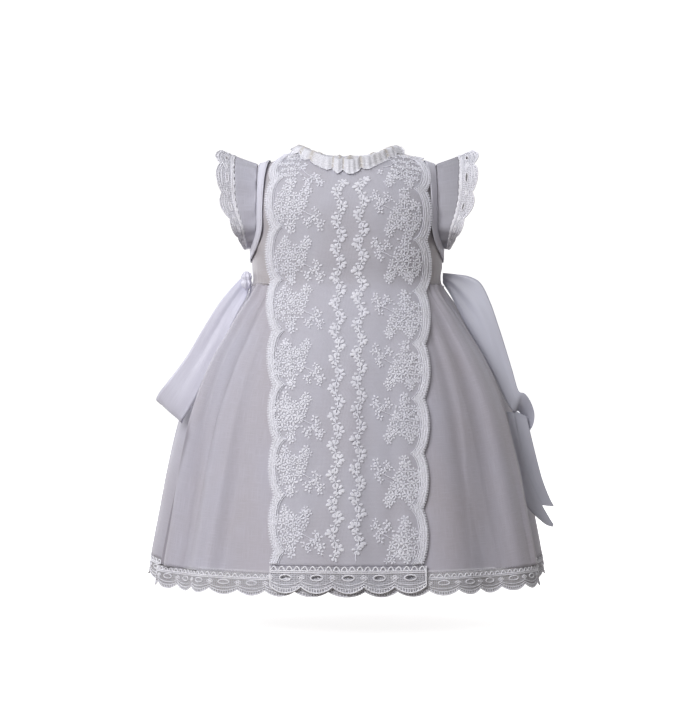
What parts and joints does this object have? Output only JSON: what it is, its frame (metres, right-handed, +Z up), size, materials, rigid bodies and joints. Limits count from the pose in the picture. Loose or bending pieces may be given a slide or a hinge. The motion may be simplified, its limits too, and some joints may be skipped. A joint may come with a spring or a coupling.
{
  "type": "baby christening dress, filled out as worn, held at the shoulders",
  "caption": "Sleeveless-bodice christening dress with flutter sleeves, lace front panel, full skirt with eyelet hem lace and satin ribbons at the waist.",
  "frame": {"origin": "midway between the two shoulder seams, at the level of the neck side", "axes": "+Z up towards the neck, the front of the dress faces -Y, +X to the right seen from the front"},
  "size_m": [0.408, 0.3129, 0.4371],
  "materials": {
    "mounted_organza": "organza mounted on fine cotton, matt with a faint sheen",
    "organza": "sheer woven organza, soft and slightly glossy",
    "lining": "ivory cotton batiste",
    "net_lace": "embroidered net lace",
    "lace": "cotton trimming lace",
    "bias_binding": "cotton bias strip",
    "satin": "satin ribbon with a soft shine",
    "pearl_button": "pearly white, glossy"
  },
  "bodies": {
    "root": {"bodice_front": "mounted_organza", "bodice_back_left": "mounted_organza", "bodice_back_right": "mounted_organza", "back_placket": "bias_binding", "back_button_1": "pearl_button", "back_button_2": "pearl_button", "back_button_3": "pearl_button", "neck_frill": "lace", "armhole_binding_left": "bias_binding", "armhole_binding_right": "bias_binding", "sleeve_left": "organza", "sleeve_right": "organza", "sleeve_lace_left": "lace", "sleeve_lace_right": "lace", "skirt_front": "organza", "skirt_back": "organza", "skirt_lining": "lining", "skirt_hem_lace_front": "lace", "skirt_hem_lace_back": "lace", "lace_panel": "net_lace", "lace_panel_hem": "lace", "ribbon_left_loop": "satin", "ribbon_left_knot": "satin", "ribbon_right_loop": "satin", "ribbon_right_tail_outer": "satin", "ribbon_right_tail_inner": "satin"}
  },
  "joints": []
}
